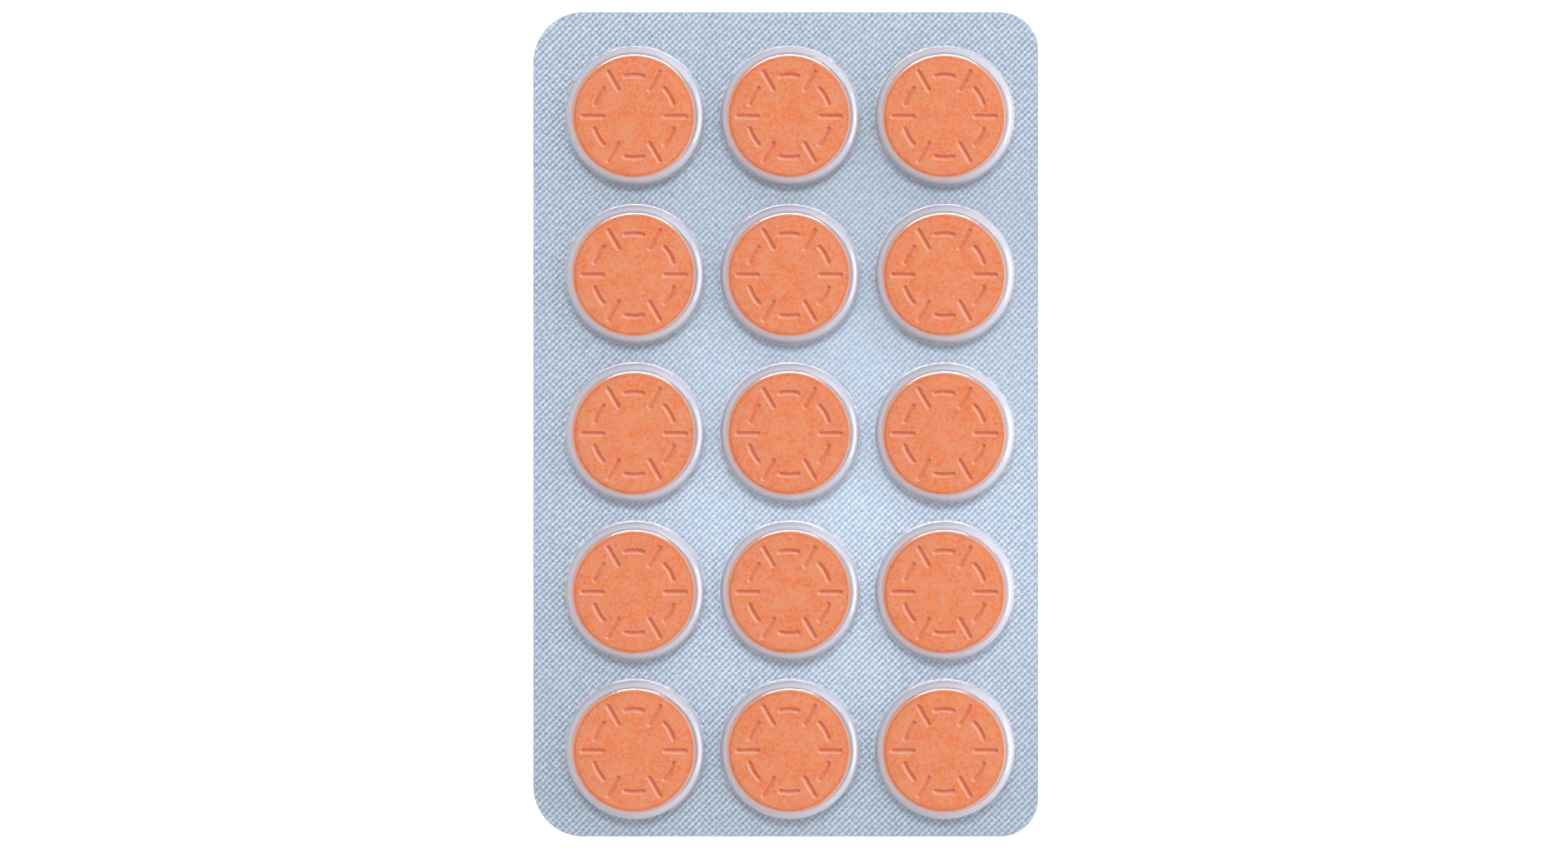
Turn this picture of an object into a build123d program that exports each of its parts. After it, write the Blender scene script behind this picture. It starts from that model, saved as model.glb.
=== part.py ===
from build123d import *
import os
from math import hypot, sqrt

# A pill blister pack: a clear film formed into rows of round pockets, a foil sealed to its back, and one round
# tablet in each pocket. Units are millimetres. The pack lies on its foil with the pockets up (+Z), its columns side
# by side along X and its rows along Y. The origin is the centre of the foil's underside.

# Card: the film and the foil, cut to one outline
left_corner_radius = 6.5
right_corner_radius = 4.95
foil_thickness = 0.03
film_thickness = 0.25

# Tablets: flat on both faces, and each lies a little off its pocket's centre
tablet_diameter = 16.0
tablet_thickness = 5.0
tablet_shift_x = -0.12
tablet_shift_y = -0.15

# Pockets: the film is drawn thinner there, and clears the tablet's side, face and edge
side_clearance = 0.53
headroom = 0.3
edge_clearance = 0.13
pocket_wall = 0.2

# Layout: flat land is left between the pockets and round the card's border
columns = 3
rows = 5
land_between_columns = 2.08
land_between_rows = 2.53
left_margin = 4.19
right_margin = 3.17
top_margin = 4.48
bottom_margin = 2.34

# The hollow round each tablet, whose shoulder slopes at 45 degrees past the tablet's edge
hollow_radius = tablet_diameter / 2 + hypot(tablet_shift_x, tablet_shift_y) + side_clearance
ceiling = foil_thickness + tablet_thickness + headroom
shoulder = side_clearance + headroom - sqrt(2) * edge_clearance

# The pocket's outside stands one wall outside the hollow, on the shoulder's slope too
film_top = foil_thickness + film_thickness
pocket_radius = hollow_radius + pocket_wall
pocket_top = ceiling + pocket_wall
outer_shoulder = shoulder + (2 - sqrt(2)) * pocket_wall

# The card is as large as its pockets, land and margins
column_pitch = 2 * pocket_radius + land_between_columns
row_pitch = 2 * pocket_radius + land_between_rows
card_width = left_margin + (columns - 1) * column_pitch + 2 * pocket_radius + right_margin
card_length = top_margin + (rows - 1) * row_pitch + 2 * pocket_radius + bottom_margin
array_x = (left_margin - right_margin) / 2
array_y = (bottom_margin - top_margin) / 2


def round_corners(outline):
    """Round the card's four corners, which are wider on the left than on the right."""
    fillet(outline.vertices().group_by(Axis.X)[0], left_corner_radius)
    fillet(outline.vertices().group_by(Axis.X)[-1], right_corner_radius)


# Lidding foil: a flat sheet, and the face that the pack lies on
with BuildPart() as lidding_foil:
    with BuildSketch() as foil_outline:
        Rectangle(card_width, card_length)
        round_corners(foil_outline)
    extrude(amount=foil_thickness)

# Forming film: the flat land with a solid round boss at each pocket
with BuildPart() as forming_film:
    with BuildSketch(Plane.XY.offset(foil_thickness)) as land_outline:
        Rectangle(card_width, card_length)
        round_corners(land_outline)
    extrude(amount=film_thickness)
    with BuildSketch(Plane.XY.offset(film_top)) as bosses:
        with Locations((array_x, array_y)):
            with GridLocations(column_pitch, row_pitch, columns, rows):
                Circle(pocket_radius)
    extrude(amount=pocket_top - film_top)

    # Each boss is hollowed from the foil's side, and its shoulder slopes inside and out
    with BuildSketch(Plane.XY.offset(foil_thickness)) as hollows:
        with Locations((array_x, array_y)):
            with GridLocations(column_pitch, row_pitch, columns, rows):
                Circle(hollow_radius)
    extrude(amount=ceiling - foil_thickness, mode=Mode.SUBTRACT)
    ceiling_rims = forming_film.edges().filter_by_position(Axis.Z, ceiling, ceiling)
    chamfer(ceiling_rims, shoulder)
    top_rims = forming_film.edges().group_by(Axis.Z)[-1]
    chamfer(top_rims, outer_shoulder)

os.makedirs("parts", exist_ok=True)

lidding_foil.part.label = "lidding_foil"
export_step(lidding_foil.part, "parts/lidding_foil.step")

forming_film.part.label = "forming_film"
export_step(forming_film.part, "parts/forming_film.step")

# Tablets: one on the foil in each pocket, row 1 being the row at the card's +Y end
for row in range(rows):
    for column in range(columns):
        tablet_x = array_x + (column - (columns - 1) / 2) * column_pitch + tablet_shift_x
        tablet_y = array_y + ((rows - 1) / 2 - row) * row_pitch + tablet_shift_y
        with BuildPart() as tablet:
            with BuildSketch(Plane.XY.offset(foil_thickness)):
                with Locations((tablet_x, tablet_y)):
                    Circle(tablet_diameter / 2)
            extrude(amount=tablet_thickness)
        name = f"tablet_row{row + 1}_col{column + 1}"
        tablet.part.label = name
        export_step(tablet.part, f"parts/{name}.step")
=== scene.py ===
"""Looks of a pill blister pack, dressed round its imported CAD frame.

The pack lies on its foil at z = 0 with its pockets up, its columns side by side along X and its rows along Y.
The pack's sizes are given in millimetres and turned to metres where a mesh is made, and the studio's are in
metres.
"""

import logging
import math
from abc import ABC, abstractmethod
from collections.abc import Iterable, Sequence
from dataclasses import dataclass
from enum import Enum
from typing import Any

import bmesh
import bpy
import numpy as np
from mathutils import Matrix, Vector
from mathutils.geometry import delaunay_2d_cdt


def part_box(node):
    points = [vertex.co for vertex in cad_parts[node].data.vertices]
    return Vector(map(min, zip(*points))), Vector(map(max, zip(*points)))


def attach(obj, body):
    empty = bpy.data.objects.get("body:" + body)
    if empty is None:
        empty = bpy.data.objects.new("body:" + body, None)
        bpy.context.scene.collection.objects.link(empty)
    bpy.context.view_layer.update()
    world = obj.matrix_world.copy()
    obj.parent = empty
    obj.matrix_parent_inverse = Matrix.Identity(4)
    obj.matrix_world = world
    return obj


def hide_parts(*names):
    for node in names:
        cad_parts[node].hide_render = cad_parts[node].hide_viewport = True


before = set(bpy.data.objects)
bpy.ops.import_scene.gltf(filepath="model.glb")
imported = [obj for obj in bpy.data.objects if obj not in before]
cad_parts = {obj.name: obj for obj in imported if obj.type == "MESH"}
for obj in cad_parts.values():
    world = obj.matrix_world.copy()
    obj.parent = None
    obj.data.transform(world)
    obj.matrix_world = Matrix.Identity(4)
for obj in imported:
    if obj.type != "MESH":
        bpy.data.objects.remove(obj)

LOG = logging.getLogger("blister_pack")
PHOTO_WIDTH = 1914
MM = 0.001

# Inputs and result of the Mix node, by number because their names repeat
FACTOR, FLOAT_A, FLOAT_B, COLOUR_A, COLOUR_B = 0, 2, 3, 6, 7
MIXED_COLOUR = 2

# Points of a mesh are welded, and points of a plan joined, when they are nearer than this, in millimetres
WELD_GAP = 0.0005
SNAP = 1e-7

# Triangles of a plan are dropped when twice their area is under this, in square millimetres
SLIVER = 1e-9


def linear(hex_code: str) -> tuple[float, float, float, float]:
    """Turn an sRGB hex colour to linear.

    Args:
        hex_code: Six hex digits after a hash.

    Returns:
        Red, green, blue and an alpha of 1, for a colour socket.
    """
    # The sRGB standard's own curve
    shares = [int(hex_code[i:i + 2], 16) / 255 for i in (1, 3, 5)]
    red, green, blue = (s / 12.92 if s <= 0.04045 else ((s + 0.055) / 1.055) ** 2.4 for s in shares)
    return red, green, blue, 1.0


def add_node(
    tree: bpy.types.NodeTree,
    kind: str,
    settings: dict[str, Any] | None = None,
    sockets: dict[str | int, Any] | None = None,
) -> bpy.types.Node:
    """Add a node with its settings, and link or set its inputs.

    Args:
        tree: The node tree that gets the node.
        kind: The node's type, such as "ShaderNodeMath".
        settings: The node's own properties by name.
        sockets: Inputs by name or number. An output is linked to its input, and any other value is set on it.

    Returns:
        The new node.
    """
    node = tree.nodes.new(kind)
    for name, value in (settings or {}).items():
        setattr(node, name, value)
    for name, value in (sockets or {}).items():
        if isinstance(value, bpy.types.NodeSocket):
            tree.links.new(value, node.inputs[name])
        else:
            node.inputs[name].default_value = value
    return node


@dataclass
class Facets:
    """Points and faces of a mesh in millimetres, gathered part by part."""

    points: np.ndarray
    faces: list[tuple[int, ...]]

    @classmethod
    def joined(cls, parts: Iterable["Facets"]) -> "Facets":
        """Put several parts into one.

        Args:
            parts: Parts whose shared edges have equal points, which are welded later.

        Returns:
            One set of points and faces.
        """
        points: list[np.ndarray] = []
        faces: list[tuple[int, ...]] = []
        count = 0
        for part in parts:
            points.append(part.points)
            faces += [tuple(corner + count for corner in face) for face in part.faces]
            count += len(part.points)
        return cls(np.concatenate(points), faces)

    def moved(self, x: float, y: float) -> "Facets":
        """Return the same faces at another place."""
        return Facets(self.points + np.array([x, y, 0.0]), self.faces)

    def flipped(self) -> "Facets":
        """Return the same points with every face turned over."""
        return Facets(self.points, [face[::-1] for face in self.faces])


def triangulate(
    loops: Sequence[np.ndarray], loose: Sequence[np.ndarray] = (),
) -> tuple[np.ndarray, np.ndarray]:
    """Triangulate flat points and keep closed loops as edges.

    Args:
        loops: Points of each closed loop, one row each.
        loose: Sets of points that are on no loop.

    Returns:
        All the points in the order given, and the point numbers of every triangle inside the hull, three a
        row, anticlockwise.
    """
    points = np.concatenate([*loops, *loose])
    starts = np.cumsum([0] + [len(loop) for loop in loops]).tolist()
    edges = [
        (i, i + 1 if i + 1 < end else start)
        for start, end in zip(starts, starts[1:]) for i in range(start, end)
    ]
    _, _, faces, origins, _, _ = delaunay_2d_cdt([Vector(p) for p in points], edges, [], 0, SNAP)
    triangles = np.array([[origins[corner][0] for corner in face] for face in faces])
    a, b, c = points[triangles[:, 0]], points[triangles[:, 1]], points[triangles[:, 2]]
    turn = (b[:, 0] - a[:, 0]) * (c[:, 1] - a[:, 1]) - (b[:, 1] - a[:, 1]) * (c[:, 0] - a[:, 0])
    triangles[turn < 0] = triangles[turn < 0][:, ::-1]
    return points, triangles[np.abs(turn) > SLIVER]


def circle(radius: float, segments: int, x: float = 0.0, y: float = 0.0) -> np.ndarray:
    """Return evenly spaced points of a circle, anticlockwise from +X."""
    turn = np.arange(segments) * 2 * np.pi / segments
    return np.stack([x + radius * np.cos(turn), y + radius * np.sin(turn)], 1)


def raised(plan: np.ndarray, height: float | np.ndarray) -> np.ndarray:
    """Return the points of a plan at one height, or each at its own."""
    return np.column_stack([plan, np.broadcast_to(height, len(plan))])


def quarter(
    centre: tuple[float, float], reach: tuple[float, float], start: float, steps: int,
) -> list[tuple[float, float]]:
    """Return points of a quarter turn of a profile.

    Args:
        centre: The radius and height of the arc's centre.
        reach: Half-axes of the arc along the radius and the height. One below zero turns the arc over.
        start: The angle in degrees where it begins. It turns clockwise to 90 degrees less.
        steps: Number of runs that it is drawn with.

    Returns:
        Radius and height of each point.
    """
    angles = [math.radians(start - 90 * i / steps) for i in range(steps + 1)]
    return [(centre[0] + reach[0] * math.cos(a), centre[1] + reach[1] * math.sin(a)) for a in angles]


def banded(loops: Sequence[np.ndarray]) -> Facets:
    """Join closed loops with as many points each by bands of faces.

    Args:
        loops: Points of each loop, anticlockwise from above, outwards and down.

    Returns:
        Faces whose normals point up and outwards.
    """
    count = len(loops[0])
    faces: list[tuple[int, ...]] = []
    for inner in range(0, (len(loops) - 1) * count, count):
        outer = inner + count
        for i in range(count):
            j = (i + 1) % count
            faces.append((inner + i, outer + i, outer + j, inner + j))
    return Facets(np.concatenate(loops), faces)


def revolved(profile: Sequence[tuple[float, float]], segments: int) -> Facets:
    """Turn a profile about the Z axis.

    Args:
        profile: Radius and height of each point, outwards and down. A first radius of zero closes the middle.
        segments: Number of columns of faces.

    Returns:
        Faces whose normals point up and outwards.
    """
    wall = banded([raised(circle(r, segments), z) for r, z in profile if r > 0])
    if profile[0][0] > 0:
        return wall
    hub = len(wall.points)
    fan = [(hub, i, (i + 1) % segments) for i in range(segments)]
    return Facets(np.append(wall.points, [[0.0, 0.0, profile[0][1]]], axis=0), wall.faces + fan)


@dataclass(frozen=True)
class Spot:
    """Where one pocket and its tablet are, in millimetres."""

    node: str
    x: float
    y: float


@dataclass(frozen=True)
class Card:
    """The outline that the film and the foil share, and the places on it, in millimetres."""

    left_corner: float = 6.5
    right_corner: float = 4.95
    corner_steps: int = 24
    edge_step: float = 0.45
    tablet_shift_x: float = -0.12
    tablet_shift_y: float = -0.15

    @property
    def half(self) -> tuple[float, float]:
        """Half the width and half the length."""
        _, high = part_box("forming_film")
        return high.x / MM, high.y / MM

    @property
    def foil_top(self) -> float:
        """Height of the foil's upper face."""
        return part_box("lidding_foil")[1].z / MM

    @property
    def film_peak(self) -> float:
        """Height of the pockets' tops."""
        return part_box("forming_film")[1].z / MM

    @property
    def tablets(self) -> list[Spot]:
        """The centre of each tablet."""
        spots = []
        for node in sorted(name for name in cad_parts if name.startswith("tablet_")):
            low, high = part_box(node)
            spots.append(Spot(node, (low.x + high.x) / 2 / MM, (low.y + high.y) / 2 / MM))
        return spots

    @property
    def pockets(self) -> list[Spot]:
        """The centre of each pocket, which its tablet lies a little off."""
        return [Spot(s.node, s.x - self.tablet_shift_x, s.y - self.tablet_shift_y) for s in self.tablets]

    def outline(self, inset: float = 0.0) -> np.ndarray:
        """Return the points of the outline.

        Args:
            inset: How far inside the card's edge it runs.

        Returns:
            Points of the closed loop, anticlockwise from the lower right corner, close together all the way.
        """
        wide, long = self.half
        points = []
        for side_x, side_y, start in ((1, -1, -90), (1, 1, 0), (-1, 1, 90), (-1, -1, 180)):
            corner = self.right_corner if side_x > 0 else self.left_corner
            for i in range(self.corner_steps + 1):
                turn = math.radians(start + 90 * i / self.corner_steps)
                x = side_x * (wide - corner) + (corner - inset) * math.cos(turn)
                y = side_y * (long - corner) + (corner - inset) * math.sin(turn)
                points.append((x, y))
        ends = np.roll(points, -1, axis=0)
        runs = [
            np.linspace(a, b, max(2, math.ceil(math.dist(a, b) / self.edge_step) + 1))[:-1]
            for a, b in zip(points, ends)
        ]
        return np.concatenate(runs)

    def inside_by(self, points: np.ndarray) -> np.ndarray:
        """Return how far inside the outline each point lies, and less than zero outside."""
        corner = np.where(points[:, 0] > 0, self.right_corner, self.left_corner)
        over = np.abs(points) - np.array(self.half) + corner[:, None]
        rounded = np.hypot(*np.maximum(over, 0).T) - corner
        return -(rounded + np.minimum(over.max(1), 0))

    def from_pocket(self, points: np.ndarray) -> np.ndarray:
        """Return each point's distance from the nearest pocket's centre."""
        return np.min([np.hypot(points[:, 0] - s.x, points[:, 1] - s.y) for s in self.pockets], axis=0)


class Finish(ABC):
    """What a surface is made of and how it was made."""

    name: str

    @abstractmethod
    def shade(self, tree: bpy.types.NodeTree) -> bpy.types.NodeSocket:
        """Add this finish's nodes and return the shader's output."""

    def material(self) -> bpy.types.Material:
        """Return the finish as a material, which is made once.

        Returns:
            The material that the pieces share.
        """
        known = bpy.data.materials.get(self.name)
        if known:
            return known
        made = bpy.data.materials.new(self.name)
        made.use_nodes = True
        made.node_tree.nodes.clear()
        surface = self.shade(made.node_tree)
        add_node(made.node_tree, "ShaderNodeOutputMaterial", sockets={"Surface": surface})
        return made


class FoilFace(Enum):
    """The two faces of hard aluminium foil, with their roughness."""

    SEALED = 0.50
    BARE = 0.32


@dataclass(frozen=True)
class Knurl:
    """The diamond grid that the sealing plate presses into foil, in millimetres."""

    pitch: float = 0.606
    rising_ridge: float = 0.046
    falling_ridge: float = 0.027
    unevenness: float = 0.018
    least: float = 0.001
    seed: int = 5

    def lattice(self, half: tuple[float, float]) -> np.ndarray:
        """Return points at every crest, trough and crossing.

        Args:
            half: Half the width and length of the rectangle that they cover.

        Returns:
            Points whose rows run along the two diagonals.
        """
        step = self.pitch / 2
        reach = int(sum(half) / math.sqrt(2) / step) + 1
        u, v = np.meshgrid(np.arange(-reach, reach + 1) * step, np.arange(-reach, reach + 1) * step)
        points = np.stack([(u + v).ravel(), (v - u).ravel()], 1) / math.sqrt(2)
        return points[(np.abs(points) < np.array(half)).all(1)]

    def height(self, points: np.ndarray) -> np.ndarray:
        """Return the relief's height at each point, never below zero."""
        u = (points[:, 0] - points[:, 1]) / math.sqrt(2) / self.pitch
        v = (points[:, 0] + points[:, 1]) / math.sqrt(2) / self.pitch
        crest = [1 - 2 * np.abs(t - np.round(t)) for t in (u, v)]
        worn = np.random.default_rng(self.seed).uniform(-self.unevenness, self.unevenness, len(points))
        return np.maximum(self.rising_ridge * crest[0] + self.falling_ridge * crest[1] + worn, self.least)


@dataclass(frozen=True)
class RolledAluminium(Finish):
    """Hard aluminium foil: cold-rolled, annealed off, and heat-sealed under a knurled plate.

    The eye sees a cool soft metal. The ridges are painted pale and the pits duller and bluer, partly
    burnished metal and partly painted highlight and painted shade, so that the grid reads as pale lines over
    grey. Near the card's middle the foil is painted paler, a painted pool of light, and its grid is fainter.
    """

    face: FoilFace = FoilFace.SEALED
    # The ridges' pale colour and the pits' dull bluer one are partly burnished metal and partly painted
    # highlight and painted shade
    ridge: str = "#D0E2E9"
    pit_painted_shade: str = "#8FA5AF"
    knurl: Knurl = Knurl()

    # Painted pool of light: the foil's colour is palest round one spot and darker away from it. The painted
    # pattern of ridges and pits is faintest round another spot and grows away from it. Both spots are from
    # the card's centre
    painted_light_middle: tuple[float, float] = (5.5, -14.0)
    painted_light_reach: float = 53.0
    painted_light_falloff: float = 0.3
    pattern_contrast_middle: tuple[float, float] = (8.0, 15.0)
    pattern_contrast_reach: float = 64.0
    pattern_contrast: tuple[float, float] = (0.43, 0.84)

    # Patches of rubbing are a third as wide as the grid's pitch
    rubbing: float = 0.2
    rubbing_swing: float = 2.3
    crest_reach: float = 0.75
    gloss_swing: float = 0.06
    # Smooth foil takes a level near the ridges' pale colour, which partly paints light into the shade round
    # the pockets' feet
    smooth_level: float = 0.6

    # Rolling leaves grain under 0.01 mm wide, which is drawn eight times as coarse so that it shows
    rolling_grain: float = 0.08
    grain_strength: float = 0.25
    grain_depth: float = 0.01

    @property
    def name(self) -> str:
        """The material's name."""
        return f"aluminium_foil_{self.face.name.lower()}"

    def spread(
        self,
        tree: bpy.types.NodeTree,
        place: bpy.types.NodeSocket,
        middle: tuple[float, float],
        reach: float,
        levels: tuple[float, float],
    ) -> bpy.types.NodeSocket:
        """Return a level that changes smoothly with the distance from one spot.

        Args:
            tree: The material's node tree.
            place: The socket that gives the place on the pack.
            middle: The spot, in millimetres.
            reach: The distance in millimetres at which the level stops changing.
            levels: The level at the spot and beyond the reach.

        Returns:
            The level's socket.
        """
        spot = (middle[0] * MM, middle[1] * MM, 0)
        away = add_node(tree, "ShaderNodeVectorMath", {"operation": "DISTANCE"}, {0: place, 1: spot})
        level = add_node(
            tree, "ShaderNodeMapRange", {"interpolation_type": "SMOOTHSTEP"},
            {
                "Value": away.outputs["Value"], "From Max": reach * MM, "To Min": levels[0],
                "To Max": levels[1],
            },
        )
        return level.outputs["Result"]

    def shade(self, tree: bpy.types.NodeTree) -> bpy.types.NodeSocket:
        """Add the foil's nodes.

        Args:
            tree: The material's node tree.

        Returns:
            The shader's output.
        """
        place = add_node(tree, "ShaderNodeTexCoord").outputs["Object"]
        wave = 2 * math.pi / (self.knurl.pitch * MM) / math.sqrt(2)
        total = self.knurl.rising_ridge + self.knurl.falling_ridge
        waves = []
        for across, ridge in ((-wave, self.knurl.rising_ridge), (wave, self.knurl.falling_ridge)):
            phase = add_node(
                tree, "ShaderNodeVectorMath", {"operation": "DOT_PRODUCT"}, {0: place, 1: (wave, across, 0)},
            )
            swing = add_node(tree, "ShaderNodeMath", {"operation": "COSINE"}, {0: phase.outputs["Value"]})
            scaled = {0: swing.outputs[0], 1: ridge / total}
            waves.append(add_node(tree, "ShaderNodeMath", {"operation": "MULTIPLY"}, scaled).outputs[0])
        relief = add_node(tree, "ShaderNodeMath", {"operation": "ADD"}, {0: waves[0], 1: waves[1]})
        patches = add_node(
            tree, "ShaderNodeTexNoise",
            sockets={"Vector": place, "Scale": 1 / (self.rubbing * MM), "Detail": 2.0, "Roughness": 0.8},
        )
        uneven = add_node(
            tree, "ShaderNodeMapRange",
            sockets={
                "Value": patches.outputs["Fac"], "To Min": -self.rubbing_swing, "To Max": self.rubbing_swing,
            },
        )
        wear_and_painted_light = add_node(
            tree, "ShaderNodeMath", {"operation": "ADD"}, {0: relief.outputs[0], 1: uneven.outputs["Result"]},
        )
        # The painted pattern of ridges and pits is faintest round one spot and grows stronger away from it
        pattern_contrast = self.spread(tree, place, self.pattern_contrast_middle, self.pattern_contrast_reach, self.pattern_contrast)
        pattern_scaled = add_node(tree, "ShaderNodeMath", {"operation": "MULTIPLY"}, {0: wear_and_painted_light.outputs[0], 1: pattern_contrast})
        pressed = add_node(tree, "ShaderNodeAttribute", {"attribute_name": "pressed"}).outputs["Fac"]
        shown = add_node(
            tree, "ShaderNodeMix", {"data_type": "FLOAT"},
            {FACTOR: pressed, FLOAT_A: self.smooth_level, FLOAT_B: pattern_scaled.outputs[0]},
        )
        # Painted highlight and painted shade: ridges get the pale colour and pits the duller bluer one,
        # partly burnished metal and partly the shade that falls in the pits
        crest = add_node(
            tree, "ShaderNodeMapRange",
            sockets={"Value": shown.outputs[0], "From Min": -self.crest_reach, "From Max": self.crest_reach},
        )
        colour = add_node(
            tree, "ShaderNodeMix", {"data_type": "RGBA"},
            {FACTOR: crest.outputs["Result"], COLOUR_A: linear(self.pit_painted_shade), COLOUR_B: linear(self.ridge)},
        )
        # Painted pool of light: the colour is brightest round one spot and darker away from it
        levels = (1.0, 1 - self.painted_light_falloff)
        painted_light_level = self.spread(tree, place, self.painted_light_middle, self.painted_light_reach, levels)
        painted_light_colour = add_node(
            tree, "ShaderNodeVectorMath", {"operation": "SCALE"},
            {0: colour.outputs[MIXED_COLOUR], "Scale": painted_light_level},
        )
        gloss = add_node(
            tree, "ShaderNodeMapRange",
            sockets={
                "Value": crest.outputs["Result"], "To Min": self.face.value + self.gloss_swing,
                "To Max": self.face.value - self.gloss_swing,
            },
        )
        grain = add_node(
            tree, "ShaderNodeTexNoise",
            sockets={"Vector": place, "Scale": 1 / (self.rolling_grain * MM), "Detail": 2.0},
        )
        bump = add_node(
            tree, "ShaderNodeBump",
            sockets={
                "Height": grain.outputs["Fac"], "Strength": self.grain_strength,
                "Distance": self.grain_depth * MM,
            },
        )
        shader = add_node(
            tree, "ShaderNodeBsdfPrincipled",
            sockets={
                "Base Color": painted_light_colour.outputs[0], "Metallic": 1.0, "Roughness": gloss.outputs["Result"],
                "Normal": bump.outputs["Normal"],
            },
        )
        return shader.outputs["BSDF"]


@dataclass(frozen=True)
class ThermoformedPvc(Finish):
    """Clear rigid PVC sheet, calendered smooth and drawn warm into the pockets.

    The eye looks straight through it head on and sees a white gloss where it turns away, with a faint
    lavender cast.
    """

    name: str = "clear_pvc_film"
    tint: str = "#FAF9FC"
    gloss: str = "#FFFFFF"
    haze: str = "#E1E5F2"
    roughness: float = 0.05
    drawn_roughness: float = 0.25
    drawn_haze: float = 0.46
    wall_haze: float = 0.08
    far_share: float = 0.3

    # How far up the film faces, 1 on the land and 0 on a wall: where haze begins, is full, and thins again
    flat_level: float = 0.972
    drawn_level: float = 0.90
    turned_level: float = 0.15
    wall_level: float = 0.03
    head_on: float = 0.035
    grazing_rise: float = 5.0
    ripple_size: float = 6.0
    ripple_strength: float = 0.3
    ripple_depth: float = 0.02

    def shade(self, tree: bpy.types.NodeTree) -> bpy.types.NodeSocket:
        """Add the film's nodes.

        Args:
            tree: The material's node tree.

        Returns:
            The shader's output.
        """
        place = add_node(tree, "ShaderNodeTexCoord").outputs["Object"]
        ripple = add_node(
            tree, "ShaderNodeTexNoise",
            sockets={"Vector": place, "Scale": 1 / (self.ripple_size * MM), "Detail": 1.0},
        )
        bump = add_node(
            tree, "ShaderNodeBump",
            sockets={
                "Height": ripple.outputs["Fac"], "Strength": self.ripple_strength,
                "Distance": self.ripple_depth * MM,
            },
        )
        facing = add_node(tree, "ShaderNodeLayerWeight").outputs["Facing"]
        grazing = add_node(tree, "ShaderNodeMath", {"operation": "POWER"}, {0: facing, 1: self.grazing_rise})
        mirrored = add_node(
            tree, "ShaderNodeMapRange", sockets={"Value": grazing.outputs[0], "To Min": self.head_on},
        )
        normal = add_node(tree, "ShaderNodeNewGeometry").outputs["Normal"]
        turned = add_node(tree, "ShaderNodeSeparateXYZ", sockets={0: normal})
        level = add_node(tree, "ShaderNodeMath", {"operation": "ABSOLUTE"}, {0: turned.outputs["Z"]})
        drawn = add_node(
            tree, "ShaderNodeMapRange",
            sockets={
                "Value": level.outputs[0], "From Min": self.flat_level, "From Max": self.drawn_level,
                "To Max": self.drawn_haze,
            },
        )
        walled = add_node(
            tree, "ShaderNodeMapRange",
            sockets={
                "Value": level.outputs[0], "From Min": self.wall_level, "From Max": self.turned_level,
                "To Min": self.wall_haze, "To Max": self.drawn_haze,
            },
        )
        haze = add_node(
            tree, "ShaderNodeMath", {"operation": "MINIMUM"}, {0: drawn.outputs[0], 1: walled.outputs[0]},
        )
        rough = add_node(
            tree, "ShaderNodeMapRange",
            sockets={"Value": level.outputs[0], "To Min": self.drawn_roughness, "To Max": self.roughness},
        )
        through = add_node(tree, "ShaderNodeBsdfTransparent", sockets={"Color": linear(self.tint)})
        near_side = add_node(tree, "ShaderNodeBsdfDiffuse", sockets={"Color": linear(self.haze)})
        far_side = add_node(tree, "ShaderNodeBsdfTranslucent", sockets={"Color": linear(self.haze)})
        milky = add_node(
            tree, "ShaderNodeMixShader",
            sockets={0: self.far_share, 1: near_side.outputs[0], 2: far_side.outputs[0]},
        )
        body = add_node(
            tree, "ShaderNodeMixShader",
            sockets={0: haze.outputs[0], 1: through.outputs[0], 2: milky.outputs[0]},
        )
        shine = add_node(
            tree, "ShaderNodeBsdfAnisotropic",
            sockets={
                "Color": linear(self.gloss), "Roughness": rough.outputs["Result"],
                "Normal": bump.outputs["Normal"],
            },
        )
        mixed = add_node(
            tree, "ShaderNodeMixShader",
            sockets={0: mirrored.outputs["Result"], 1: body.outputs[0], 2: shine.outputs[0]},
        )
        return mixed.outputs[0]


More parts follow.
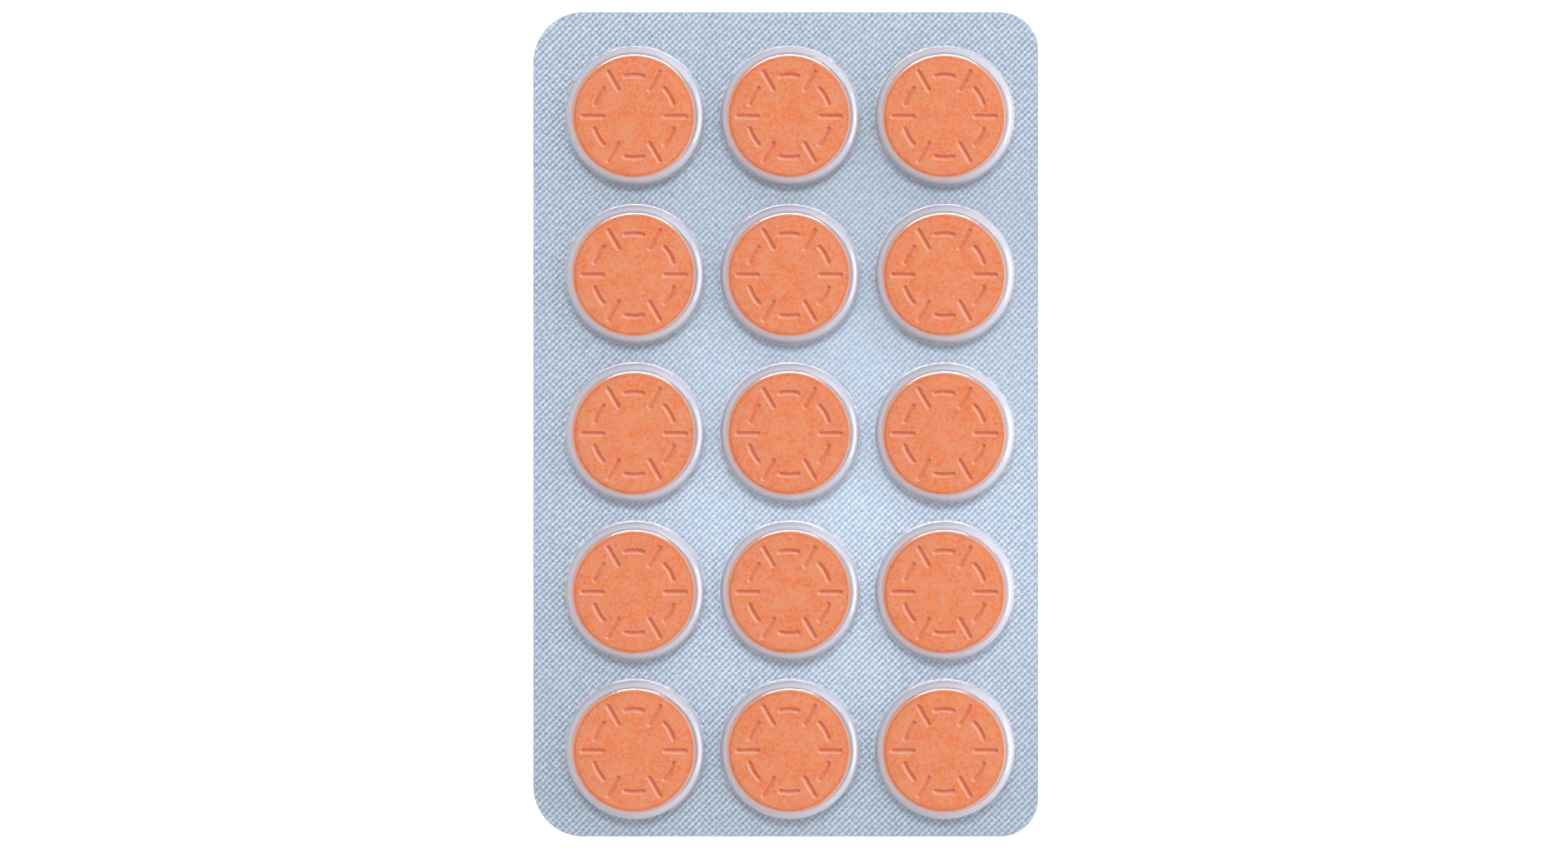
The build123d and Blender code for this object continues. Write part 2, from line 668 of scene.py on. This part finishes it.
@dataclass(frozen=True)
class PressedPowder(Finish):
    """Uncoated chewable tablet: dyed sugar granules pressed dry in a die.

    The eye sees a matt, chalky orange, mottled with pinker and paler granules. A pale colour paints a
    highlight on the strokes' lit walls and on the rim's edge, where there is some wear too, and a deep orange
    paints shade in the strokes and on the bevel.
    """

    name: str = "pressed_powder_orange"
    body: str = "#F57A12"
    pale: str = "#F59550"
    # The next colour paints a highlight on the strokes' lit walls and the rim's edge, with some wear there;
    # the one after paints shade in the grooves and on the bevel
    wear_and_painted_light: str = "#FFCBA9"
    painted_shade_orange: str = "#D24E04"
    fleck: str = "#EC9B78"
    roughness: float = 0.82
    specular: float = 0.3
    glow: float = 0.2
    glow_depth: float = 0.3
    glow_reach: tuple[float, float, float] = (1.0, 0.35, 0.12)

    # Granules are sieved to about a quarter of a millimetre, and finer grit lies between them
    granule: float = 0.27
    granule_share: float = 0.8
    dye_reach: float = 0.34
    dye_drift: float = 2.4
    drift_share: float = 1.5
    fleck_start: float = 0.4
    fleck_share: float = 0.36
    grit: float = 0.162
    grit_strength: float = 0.9
    grit_depth: float = 0.07

    def shade(self, tree: bpy.types.NodeTree) -> bpy.types.NodeSocket:
        """Add the powder's nodes.

        Args:
            tree: The material's node tree.

        Returns:
            The shader's output.
        """
        place = add_node(tree, "ShaderNodeTexCoord").outputs["Object"]
        blend = add_node(
            tree, "ShaderNodeTexNoise",
            sockets={"Vector": place, "Scale": 1 / (self.granule * MM), "Detail": 3.0, "Roughness": 0.7},
        )
        granules = add_node(
            tree, "ShaderNodeTexVoronoi", sockets={"Vector": place, "Scale": 1 / (self.granule * MM)},
        )
        each = add_node(tree, "ShaderNodeSeparateColor", sockets={"Color": granules.outputs["Color"]})
        dyed = add_node(
            tree, "ShaderNodeMix", {"data_type": "FLOAT"},
            {FACTOR: self.granule_share, FLOAT_A: blend.outputs["Fac"], FLOAT_B: each.outputs["Red"]},
        )
        drift = add_node(
            tree, "ShaderNodeTexNoise",
            sockets={"Vector": place, "Scale": 1 / (self.dye_drift * MM), "Detail": 1.0},
        )
        drifted = add_node(
            tree, "ShaderNodeMath", {"operation": "MULTIPLY_ADD"},
            {0: drift.outputs["Fac"], 1: self.drift_share, 2: dyed.outputs[0]},
        )
        # Each of the two noises is a half on average
        middle = 0.5 + 0.5 * self.drift_share
        share = add_node(
            tree, "ShaderNodeMapRange",
            sockets={
                "Value": drifted.outputs[0], "From Min": middle - self.dye_reach,
                "From Max": middle + self.dye_reach,
            },
        )
        speckled = add_node(
            tree, "ShaderNodeMix", {"data_type": "RGBA"},
            {FACTOR: share.outputs["Result"], COLOUR_A: linear(self.body), COLOUR_B: linear(self.pale)},
        )
        flecked = add_node(
            tree, "ShaderNodeMapRange",
            sockets={
                "Value": each.outputs["Green"], "From Min": self.fleck_start, "To Max": 2 * self.fleck_share,
            },
        )
        mottled = add_node(
            tree, "ShaderNodeMix", {"data_type": "RGBA"},
            {
                FACTOR: flecked.outputs["Result"], COLOUR_A: speckled.outputs[MIXED_COLOUR],
                COLOUR_B: linear(self.fleck),
            },
        )
        # Painted highlight: the pale colour on the strokes' lit walls and, with some wear, on the rim's edge
        wear_and_painted_highlight = add_node(tree, "ShaderNodeAttribute", {"attribute_name": "wear_and_painted_highlight"}).outputs["Fac"]
        worn = add_node(
            tree, "ShaderNodeMix", {"data_type": "RGBA"},
            {FACTOR: wear_and_painted_highlight, COLOUR_A: mottled.outputs[MIXED_COLOUR], COLOUR_B: linear(self.wear_and_painted_light)},
        )
        # Painted shade: the deep orange in the grooves, on their shaded walls and on the bevel
        pressed = add_node(tree, "ShaderNodeAttribute", {"attribute_name": "pressed"}).outputs["Fac"]
        with_painted_shade = add_node(
            tree, "ShaderNodeMix", {"data_type": "RGBA"},
            {FACTOR: pressed, COLOUR_A: worn.outputs[MIXED_COLOUR], COLOUR_B: linear(self.painted_shade_orange)},
        )
        grit = add_node(
            tree, "ShaderNodeTexNoise",
            sockets={"Vector": place, "Scale": 1 / (self.grit * MM), "Detail": 3.0, "Roughness": 0.7},
        )
        bump = add_node(
            tree, "ShaderNodeBump",
            sockets={
                "Height": grit.outputs["Fac"], "Strength": self.grit_strength,
                "Distance": self.grit_depth * MM,
            },
        )
        shader = add_node(
            tree, "ShaderNodeBsdfPrincipled",
            sockets={
                "Base Color": with_painted_shade.outputs[MIXED_COLOUR], "Roughness": self.roughness,
                "Specular IOR Level": self.specular, "Subsurface Weight": self.glow,
                "Subsurface Radius": self.glow_reach, "Subsurface Scale": self.glow_depth * MM,
                "Normal": bump.outputs["Normal"],
            },
        )
        return shader.outputs["BSDF"]


@dataclass(frozen=True)
class Piece:
    """One modelled piece and what it stands for."""

    name: str
    nodes: tuple[str, ...]
    slot: str
    sharp_angle: float = 40.0

    def make(
        self,
        facets: Facets,
        finishes: Sequence[Finish],
        traits: dict[str, np.ndarray] | None = None,
        coats: Sequence[int] | None = None,
    ) -> bpy.types.Object:
        """Make the piece's object from its faces.

        Args:
            facets: Points in millimetres, and faces.
            finishes: What its surface is, or what each of its sides is.
            traits: Values of each point that the finish reads, by name, from 0 to 1.
            coats: The number of each face's finish. Without them, all faces have the first one.

        Returns:
            The object, riding on the frame in its node's place.
        """
        mesh = bpy.data.meshes.new(self.name)
        mesh.from_pydata((facets.points * MM).tolist(), [], facets.faces)
        if coats is not None:
            mesh.polygons.foreach_set("material_index", coats)
        for trait, values in (traits or {}).items():
            mesh.attributes.new(trait, "FLOAT", "POINT").data.foreach_set("value", values.astype(np.float32))
        welded = bmesh.new()
        welded.from_mesh(mesh)
        bmesh.ops.remove_doubles(welded, verts=welded.verts, dist=WELD_GAP * MM)
        welded.to_mesh(mesh)
        welded.free()
        for finish in finishes:
            mesh.materials.append(finish.material())
        mesh.polygons.foreach_set("use_smooth", [True] * len(mesh.polygons))
        mesh.set_sharp_from_angle(angle=math.radians(self.sharp_angle))
        made = bpy.data.objects.new(self.name, mesh)
        bpy.context.scene.collection.objects.link(made)
        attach(made, "root")
        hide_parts(*self.nodes)
        mesh.calc_loop_triangles()
        LOG.info("%s: %d triangles", self.name, len(mesh.loop_triangles))
        return made


@dataclass(frozen=True)
class LiddingFoil:
    """The foil that closes the pockets: knurled where it is sealed, and smooth under each pocket."""

    card: Card
    knurl: Knurl = Knurl()
    smooth_radius: float = 8.95
    smooth_rim: float = 0.2
    cut_margin: float = 0.12
    round_steps: int = 96

    def plan(self) -> tuple[np.ndarray, np.ndarray, np.ndarray, np.ndarray]:
        """Lay out one face of the foil.

        Returns:
            The points of the plan with the card's edge first, the relief's height at each, whether the plate
            has pressed it, and the triangles.
        """
        edge = self.card.outline()
        radii = (self.smooth_radius, self.smooth_radius - self.smooth_rim)
        rings = [circle(radius, self.round_steps, s.x, s.y) for s in self.card.pockets for radius in radii]
        lattice = self.knurl.lattice(self.card.half)
        clear = self.card.inside_by(lattice) > self.cut_margin
        clear &= self.card.from_pocket(lattice) > self.smooth_radius + self.knurl.pitch / 4
        points, triangles = triangulate([edge, *rings], [lattice[clear]])
        pressed = np.ones(len(points))
        pressed[len(edge):len(points) - clear.sum()] = 0.0
        return points, pressed * self.knurl.height(points), pressed, triangles

    def build(self) -> bpy.types.Object:
        """Make the foil.

        Returns:
            The foil's object.
        """
        points, height, pressed, triangles = self.plan()
        faces = [tuple(t) for t in triangles.tolist()]
        upper = Facets(raised(points, height + self.card.foil_top), faces)
        lower = Facets(raised(points, height), faces).flipped()
        count = len(self.card.outline())
        rim = banded([upper.points[:count], lower.points[:count]])
        pressed = np.concatenate([pressed, pressed, np.ones(2 * count)])
        piece = Piece("foil_knurled", ("lidding_foil",), "foil")
        finishes = (RolledAluminium(FoilFace.SEALED), RolledAluminium(FoilFace.BARE))
        coats = [0] * len(faces) + [1] * len(faces) + [0] * count
        return piece.make(Facets.joined([upper, lower, rim]), finishes, {"pressed": pressed}, coats)


@dataclass(frozen=True)
class FormingFilm:
    """The clear sheet, with a round pocket drawn up over each tablet."""

    card: Card
    wall: float = 0.2
    land_top: float = 0.28
    land_under: float = 0.14
    shoulder: float = 1.2
    wall_top_radius: float = 8.885
    wall_foot_radius: float = 8.92
    foot: float = 0.1
    edge_round: float = 0.05
    land_run: float = 0.03
    flat_rings: tuple[float, ...] = (0.0, 0.3, 0.6, 0.85)
    shoulder_steps: int = 12
    foot_steps: int = 4
    segments: int = 96
    crease: float = 15.0

    @property
    def foot_radius(self) -> float:
        """Where the pocket's foot meets the land."""
        return self.wall_foot_radius + self.foot

    def pocket(self, inner: bool) -> Facets:
        """Make one side of a pocket's wall.

        Args:
            inner: Whether it is the side that faces the tablet.

        Returns:
            Faces centred on the Z axis.
        """
        wall = self.wall if inner else 0.0
        centre = (self.wall_top_radius - self.shoulder, self.card.film_peak - self.shoulder)
        foot_centre = (self.foot_radius, self.land_top + self.foot)
        base = self.land_under if inner else self.land_top
        round_top = quarter(centre, (self.shoulder - wall,) * 2, 90, self.shoulder_steps)
        foot_round = quarter(foot_centre, (self.foot + wall, base - foot_centre[1]), 180, self.foot_steps)
        flat = [(share * centre[0], self.card.film_peak - wall) for share in self.flat_rings]
        return revolved(flat + round_top + foot_round, self.segments)

    def land(self) -> tuple[np.ndarray, list[tuple[int, ...]]]:
        """Lay out the flat land between the pockets.

        Returns:
            The points of the plan, the card's edge first, and the triangles outside the pockets.
        """
        edge = self.card.outline(self.edge_round)
        radii = (self.foot_radius, self.foot_radius + self.land_run)
        rings = [circle(radius, self.segments, s.x, s.y) for s in self.card.pockets for radius in radii]
        points, triangles = triangulate([edge, *rings])
        from_pocket = self.card.from_pocket(points[triangles].mean(1))
        outside = from_pocket > self.foot_radius * math.cos(math.pi / self.segments)
        return points, [tuple(t) for t in triangles[outside].tolist()]

    def build(self) -> bpy.types.Object:
        """Make the film.

        Returns:
            The film's object.
        """
        points, faces = self.land()
        upper = Facets(raised(points, self.land_top), faces)
        lower = Facets(raised(points, self.land_under), faces).flipped()
        inset, outline = self.card.outline(self.edge_round), self.card.outline()
        rim = banded([
            raised(inset, self.land_top), raised(outline, self.land_top - self.edge_round),
            raised(outline, self.land_under + self.edge_round), raised(inset, self.land_under),
        ])
        outside, inside = self.pocket(inner=False), self.pocket(inner=True).flipped()
        pockets = [shell.moved(s.x, s.y) for s in self.card.pockets for shell in (outside, inside)]
        piece = Piece("film_thermoformed", ("forming_film",), "clear_film", sharp_angle=self.crease)
        return piece.make(Facets.joined([upper, lower, rim, *pockets]), (ThermoformedPvc(),))


class Mark(Enum):
    """The two generic strokes pressed in turn round a tablet's face."""

    DASH = "along the ring"
    TICK = "across the ring"


@dataclass(frozen=True)
class Punch:
    """The ring of strokes that the punch presses into a tablet's face, in millimetres."""

    ring_radius: float = 5.3
    dash_length: float = 2.3
    tick_length: float = 2.6
    repeats: int = 6
    half_stroke: float = 0.29
    depth: float = 0.3
    lip: float = 0.08
    # Walls on this side of each stroke face the lamps and get a painted highlight, and the other walls
    # painted shade; in degrees
    lit_side_toward: float = 235.0
    line_steps: int = 6
    cap_steps: int = 6

    # From outside the lip to the floor: shares of half_stroke, of lip and of depth, and the strength of the
    # painted highlight on the lit wall and of painted shade on the other
    section: tuple[tuple[float, float, float, float], ...] = (
        (1.0, 2.0, 0.0, 0.0), (1.0, 0.5, 0.02, 0.5), (1.0, 0.0, 0.15, 1.0), (0.55, 0.0, 0.62, 0.8),
        (0.12, 0.0, 1.0, 0.0),
    )

    def profile(self) -> list[tuple[float, float, float]]:
        """Return the groove's half-width, height and strength of painted light, from outside its lip to its
        floor.
        """
        return [
            (stroke * self.half_stroke + lip * self.lip, -sunk * self.depth, wear_and_painted_light)
            for stroke, lip, sunk, wear_and_painted_light in self.section
        ]

    def centre_line(self, mark: Mark, turn: float) -> np.ndarray:
        """Return the points of a stroke's middle.

        Args:
            mark: Which stroke it is.
            turn: The angle of its place on the ring, in radians.

        Returns:
            Points from one end to the other.
        """
        along = np.linspace(-0.5, 0.5, self.line_steps + 1)
        if mark is Mark.DASH:
            angles = turn + along * self.dash_length / self.ring_radius
            radii = np.full(len(along), self.ring_radius)
        else:
            angles = np.full(len(along), turn)
            radii = self.ring_radius + along * self.tick_length
        return np.stack([radii * np.cos(angles), radii * np.sin(angles)], 1)

    def around(self, line: np.ndarray, half_width: float) -> np.ndarray:
        """Return the closed loop at one distance round a stroke's middle.

        Args:
            line: Points of the middle.
            half_width: The distance.

        Returns:
            Points of the loop, with a half circle round each end.
        """
        step = np.gradient(line, axis=0)
        step /= np.hypot(*step.T)[:, None]
        side = np.stack([-step[:, 1], step[:, 0]], 1)
        caps = []
        for end, ahead in ((line[-1], step[-1]), (line[0], -step[0])):
            left = np.array([ahead[1], -ahead[0]])
            turns = np.arange(1, self.cap_steps) * np.pi / self.cap_steps
            caps.append(end + half_width * (np.outer(np.cos(turns), left) + np.outer(np.sin(turns), ahead)))
        return np.concatenate([line - half_width * side, caps[0], (line + half_width * side)[::-1], caps[1]])

    def rubbing(self, line: np.ndarray, loop: np.ndarray) -> np.ndarray:
        """Return how far each point of a loop lies towards the wall that gets a painted highlight.

        Args:
            line: Points of the stroke's middle.
            loop: Points round it.

        Returns:
            From -1 on the wall that gets painted shade to 1 on the wall that gets a painted highlight.
        """
        apart = loop[:, None, :] - line[None, :, :]
        nearest = np.argmin(np.hypot(apart[..., 0], apart[..., 1]), axis=1)
        outward = apart[np.arange(len(loop)), nearest]
        toward = math.radians(self.lit_side_toward)
        return outward @ np.array([math.cos(toward), math.sin(toward)]) / np.hypot(*outward.T)

    def loops(self) -> list[tuple[np.ndarray, float, np.ndarray]]:
        """Return every loop of every stroke with its height, and the painted light of each point, shade to
        highlight.
        """
        made = []
        for i in range(2 * self.repeats):
            line = self.centre_line(list(Mark)[i % 2], math.pi * i / self.repeats + math.pi / 2)
            for half_width, height, share in self.profile():
                loop = self.around(line, half_width)
                made.append((loop, height, share * self.rubbing(line, loop)))
        return made


@dataclass(frozen=True)
class Tablets:
    """The round tablets, flat on both faces with a bevelled rim."""

    card: Card
    punch: Punch = Punch()
    bevel_width: float = 0.55
    bevel_depth: float = 0.36
    corner: float = 0.12
    # The rim's edge is painted pale, partly wear and partly a painted highlight; strokes get a painted
    # highlight on the lit wall and painted shade on the other wall and floor; the bevel gets painted shade
    rim_wear_and_highlight_share: float = 0.93
    stroke_painted_highlight: float = 0.9
    stroke_painted_shade: float = 1.0
    floor_painted_shade: float = 0.15
    bevel_painted_shade: float = 0.26
    segments: int = 120
    crease: float = 60.0

    # The rim crumbles inwards by up to chip, in waves counted round it
    chip: float = 0.05
    chip_counts: tuple[int, ...] = (9, 17, 29, 41)
    chip_fall: float = 0.8
    seed: int = 11

    # Outwards and up, in corners, from the face's edge and from the rim's top, then the share of the pale
    # colour, partly wear and partly painted highlight, and the share of painted shade
    face_edge: tuple[tuple[float, float, float, float], ...] = (
        (-1.0, 0.0, 0.0, 0.0), (0.0, -0.2, 0.0, 0.6), (1.0, -0.9, 0.0, 1.0),
    )
    rim_edge: tuple[tuple[float, float, float, float], ...] = (
        (-2.6, 1.6, 0.1, 0.5), (-1.7, 1.1, 0.7, 0.0), (-1.0, 0.7, 1.0, 0.0), (-0.2, -0.2, 1.0, 0.0),
        (0.0, -1.4, 0.7, 0.0), (0.0, -4.0, 0.0, 0.0),
    )

    def side(self, radius: float, thickness: float) -> list[tuple[float, float, float, float]]:
        """Return the profile from the upper face's edge down to the lower face's.

        Args:
            radius: The tablet's radius.
            thickness: The tablet's thickness.

        Returns:
            Radius, height, pale share (wear and painted highlight) and painted shade of each point.
        """
        flat, c, d = radius - self.bevel_width, self.corner, self.bevel_depth
        upper = [(flat + out * c, up * c, wear_and_painted_light, dyed) for out, up, wear_and_painted_light, dyed in self.face_edge]
        upper += [(radius + out * c, up * c - d, wear_and_painted_light, dyed) for out, up, wear_and_painted_light, dyed in self.rim_edge]
        below = [(r, -z, wear_and_painted_light, dyed) for r, z, wear_and_painted_light, dyed in reversed(upper)]
        profile = [(r, thickness + z, wear_and_painted_light, dyed) for r, z, wear_and_painted_light, dyed in upper] + below
        return [(r, z, self.rim_wear_and_highlight_share * wear_and_painted_light, self.bevel_painted_shade * dyed) for r, z, wear_and_painted_light, dyed in profile]

    def blank(self, radius: float, thickness: float) -> tuple[Facets, dict[str, np.ndarray]]:
        """Make one tablet about the Z axis, standing on z = 0.

        Args:
            radius: The tablet's radius.
            thickness: The tablet's thickness.

        Returns:
            The tablet's faces, and each point's share of the pale colour, partly wear and partly painted
            highlight, and of painted shade.
        """
        side = self.side(radius, thickness)
        edge = circle(side[0][0], self.segments)
        grooves = self.punch.loops()
        plan, triangles = triangulate([edge] + [loop for loop, _, _ in grooves])
        heights = np.concatenate([np.zeros(len(edge))] + [np.full(len(loop), z) for loop, z, _ in grooves])
        groove_painted_light = np.concatenate([np.zeros(len(edge))] + [wear_and_painted_light for _, _, wear_and_painted_light in grooves])
        upper = Facets(raised(plan, thickness + heights), [tuple(t) for t in triangles.tolist()])
        lower = revolved([(0.0, 0.0), (radius / 2, 0.0), (side[-1][0], 0.0)], self.segments).flipped()
        around = revolved([(r, z) for r, z, _, _ in side], self.segments)
        facets = Facets.joined([upper, around, lower])
        rim_wear_and_highlight, rim_painted_shade = (np.repeat([ring[k] for ring in side], self.segments) for k in (2, 3))
        plain = np.zeros(len(lower.points))
        # Painted highlight on each stroke's lit wall and, with some wear, on the rim's edge; painted shade on
        # each stroke's other wall, deeper down its floor, and on the bevel
        wear_and_painted_highlight = np.concatenate([self.stroke_painted_highlight * np.maximum(groove_painted_light, 0), rim_wear_and_highlight, plain])
        groove_painted_shade = self.stroke_painted_shade * np.maximum(-groove_painted_light, 0) - self.floor_painted_shade * heights / self.punch.depth
        pressed = np.concatenate([groove_painted_shade, rim_painted_shade, plain])
        return facets, {"wear_and_painted_highlight": wear_and_painted_highlight, "pressed": pressed}

    def build(self) -> list[bpy.types.Object]:
        """Make every tablet.

        Returns:
            The tablets' objects.
        """
        low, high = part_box(self.card.tablets[0].node)
        radius, thickness = (high.x - low.x) / 2 / MM, (high.z - low.z) / MM
        facets, traits = self.blank(radius, thickness)
        draws = np.random.default_rng(self.seed)
        made = []
        for spot in self.card.tablets:
            chipped = facets.points.copy()
            turn = np.arctan2(chipped[:, 1], chipped[:, 0])
            wave = sum(
                math.pow(self.chip_fall, k) * np.sin(k * turn + draws.uniform(0, math.tau))
                for k in self.chip_counts
            )
            rim = np.hypot(*facets.points[:, :2].T) > radius - self.bevel_width - 2 * self.corner
            chipped[rim, :2] *= (1 - self.chip / radius * np.clip(wave[rim], 0, 1))[:, None]
            placed = Facets(chipped + (spot.x, spot.y, low.z / MM), facets.faces)
            name = spot.node.replace("tablet_", "tablet_pressed_")
            piece = Piece(name, (spot.node,), "tablet", sharp_angle=self.crease)
            made.append(piece.make(placed, (PressedPowder(),), traits))
        return made


@dataclass(frozen=True)
class Softbox:
    """One soft lamp, aimed at the pack, in metres, degrees and watts."""

    name: str
    toward: float
    off_vertical: float
    distance: float
    width: float
    height: float
    watts: float

    def build(self) -> bpy.types.Object:
        """Make the lamp, hidden from the camera.

        Returns:
            The lamp's object.
        """
        data = bpy.data.lights.new(self.name, "AREA")
        data.shape = "RECTANGLE"
        data.size, data.size_y, data.energy = self.width, self.height, self.watts
        lamp = bpy.data.objects.new(self.name, data)
        azimuth, tilt = math.radians(self.toward), math.radians(self.off_vertical)
        way = Vector((math.sin(tilt) * math.cos(azimuth), math.sin(tilt) * math.sin(azimuth), math.cos(tilt)))
        lamp.location = way * self.distance
        lamp.rotation_euler = way.to_track_quat("Z", "Y").to_euler()
        lamp.visible_camera = False
        bpy.context.scene.collection.objects.link(lamp)
        return lamp


@dataclass(frozen=True)
class Studio:
    """Plain white floor, soft lamps and the camera overhead, whose lens and sensor are in millimetres."""

    floor_size: float = 30.0
    floor_gap: float = 0.00002
    floor_colour: str = "#E8E8E8"
    shown_diffuse: str = "#A5A5A5"
    shown_glow: float = 0.75
    dome: float = 0.70
    lens: float = 300.0
    sensor: float = 36.0
    clip: tuple[float, float] = (0.01, 100.0)
    seen_width: float = 0.2020

    # The pack's centre from the picture's centre, in the photograph's pixels, right and up
    photo_shift: tuple[float, float] = (2.26, -0.47)
    lamps: tuple[Softbox, ...] = (
        Softbox("key_softbox", 90, 13, 1.5, 0.36, 0.2, 5.2),
        Softbox("side_strip", 0, 76, 1.5, 1.2, 0.36, 18.8),
        Softbox("corner_softbox", 52, 44, 1.5, 0.6, 0.6, 4.6),
    )

    def white_to_eye(self, tree: bpy.types.NodeTree) -> bpy.types.NodeSocket:
        """Return 1 for what the camera, a gloss or clear film shows, and 0 for what only lights."""
        path = add_node(tree, "ShaderNodeLightPath")
        seen = path.outputs["Is Camera Ray"]
        for other in ("Is Glossy Ray", "Is Transmission Ray"):
            either = {0: seen, 1: path.outputs[other]}
            seen = add_node(tree, "ShaderNodeMath", {"operation": "MAXIMUM"}, either).outputs[0]
        return seen

    def build_world(self) -> None:
        """Make the white surroundings, which light the pack less than they show."""
        world = bpy.data.worlds.new("white_surroundings")
        bpy.context.scene.world = world
        world.use_nodes = True
        tree = world.node_tree
        tree.nodes.clear()
        strength = add_node(
            tree, "ShaderNodeMapRange", sockets={"Value": self.white_to_eye(tree), "To Min": self.dome},
        )
        white = linear("#FFFFFF")
        sky = add_node(
            tree, "ShaderNodeBackground", sockets={"Color": white, "Strength": strength.outputs["Result"]},
        )
        add_node(tree, "ShaderNodeOutputWorld", sockets={"Surface": sky.outputs[0]})

    def build_floor(self) -> None:
        """Make the floor, which shows white and keeps the pack's soft shadow."""
        half = self.floor_size / 2
        mesh = bpy.data.meshes.new("floor")
        corners = [(x * half, y * half, -self.floor_gap) for x, y in ((-1, -1), (1, -1), (1, 1), (-1, 1))]
        mesh.from_pydata(corners, [], [(0, 1, 2, 3)])
        floor = bpy.data.objects.new("floor", mesh)
        bpy.context.scene.collection.objects.link(floor)
        made = bpy.data.materials.new("matt_white_floor")
        made.use_nodes = True
        tree = made.node_tree
        tree.nodes.clear()
        lit = add_node(tree, "ShaderNodeBsdfDiffuse", sockets={"Color": linear(self.floor_colour)})
        dim = add_node(tree, "ShaderNodeBsdfDiffuse", sockets={"Color": linear(self.shown_diffuse)})
        glow = add_node(tree, "ShaderNodeEmission", sockets={"Strength": self.shown_glow})
        shown = add_node(tree, "ShaderNodeAddShader", sockets={0: dim.outputs[0], 1: glow.outputs[0]})
        mixed = add_node(
            tree, "ShaderNodeMixShader",
            sockets={0: self.white_to_eye(tree), 1: lit.outputs[0], 2: shown.outputs[0]},
        )
        add_node(tree, "ShaderNodeOutputMaterial", sockets={"Surface": mixed.outputs[0]})
        mesh.materials.append(made)

    def build_camera(self) -> None:
        """Make the camera, straight above the pack with its length up the picture."""
        data = bpy.data.cameras.new("overhead_camera")
        data.lens, data.sensor_width = self.lens, self.sensor
        data.clip_start, data.clip_end = self.clip
        camera = bpy.data.objects.new("overhead_camera", data)
        right, up = (shift * self.seen_width / PHOTO_WIDTH for shift in self.photo_shift)
        camera.location = (-right, -up, self.seen_width * self.lens / self.sensor)
        bpy.context.scene.collection.objects.link(camera)
        bpy.context.scene.camera = camera

    def build(self) -> None:
        """Make the whole studio."""
        bpy.context.scene.view_settings.view_transform = "Standard"
        self.build_camera()
        self.build_world()
        self.build_floor()
        for lamp in self.lamps:
            lamp.build()
        LOG.info("studio: %d lamps", len(self.lamps))


def main() -> None:
    """Build the studio and the pack."""
    logging.basicConfig(level=logging.INFO, format="%(name)s: %(message)s")
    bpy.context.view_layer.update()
    Studio().build()
    card = Card()
    LiddingFoil(card).build()
    FormingFilm(card).build()
    Tablets(card).build()


if __name__ == "__main__":
    main()
